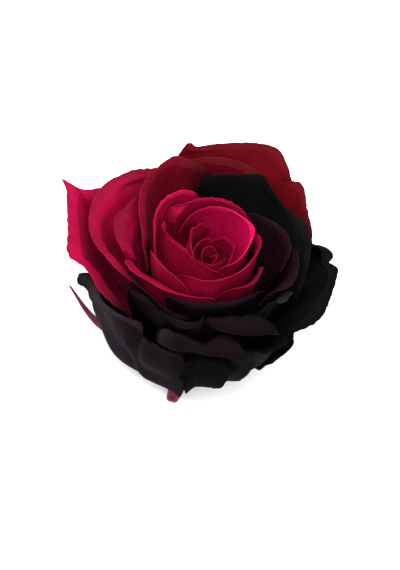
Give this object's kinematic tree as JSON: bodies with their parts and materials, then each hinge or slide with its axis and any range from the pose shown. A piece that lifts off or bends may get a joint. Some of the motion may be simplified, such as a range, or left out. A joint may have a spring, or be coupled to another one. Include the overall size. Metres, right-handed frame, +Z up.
{
  "type": "preserved rose",
  "caption": "Preserved rose head with layered cupped petals dyed pink, red, dark purple and black, and a five-sepal calyx, resting on its short cut stub.",
  "frame": {"origin": "middle of the flat cut under the hip, where the flower rests", "axes": "+Z up along the flower's axis, -Y towards the side the picture shows, +X to the right of it"},
  "size_m": [0.072, 0.06, 0.0502],
  "materials": {
    "petal_pink": "matte velvet, dyed hot pink",
    "petal_red": "matte velvet, dyed red",
    "petal_purple": "matte velvet, dyed dark purple",
    "petal_plum": "matte velvet, dyed grey plum",
    "petal_black": "matte velvet, dyed black-green",
    "calyx": "matte, dyed pale red"
  },
  "bodies": {
    "root": {"calyx": "calyx", "petal_01_heart_1": "petal_pink", "petal_02_heart_2": "petal_pink", "petal_03_heart_3": "petal_pink", "petal_04_heart_4": "petal_pink", "petal_05_heart_5": "petal_pink", "petal_06_heart_6": "petal_pink", "petal_07_bud_1": "petal_pink", "petal_08_bud_2": "petal_pink", "petal_09_bud_3": "petal_pink", "petal_10_bud_4": "petal_pink", "petal_11_bud_5": "petal_pink", "petal_12_bud_6": "petal_pink", "petal_13_bud_7": "petal_pink", "petal_14_purple_1": "petal_purple", "petal_15_black_1": "petal_black", "petal_16_red_1": "petal_red", "petal_17_pink_1": "petal_pink", "petal_18_pink_2": "petal_pink", "petal_19_purple_2": "petal_purple", "petal_20_purple_3": "petal_purple", "petal_21_plum_1": "petal_plum", "petal_22_plum_2": "petal_plum", "petal_23_pink_3": "petal_pink", "petal_24_black_2": "petal_black", "petal_25_plum_3": "petal_plum", "petal_26_red_2": "petal_red", "petal_27_red_3": "petal_red", "petal_28_black_3": "petal_black", "petal_29_plum_4": "petal_plum", "petal_30_pink_4": "petal_pink", "petal_31_black_4": "petal_black", "petal_32_red_4": "petal_red", "petal_33_plum_5": "petal_plum", "petal_34_black_5": "petal_black", "petal_35_red_5": "petal_red"}
  },
  "joints": []
}
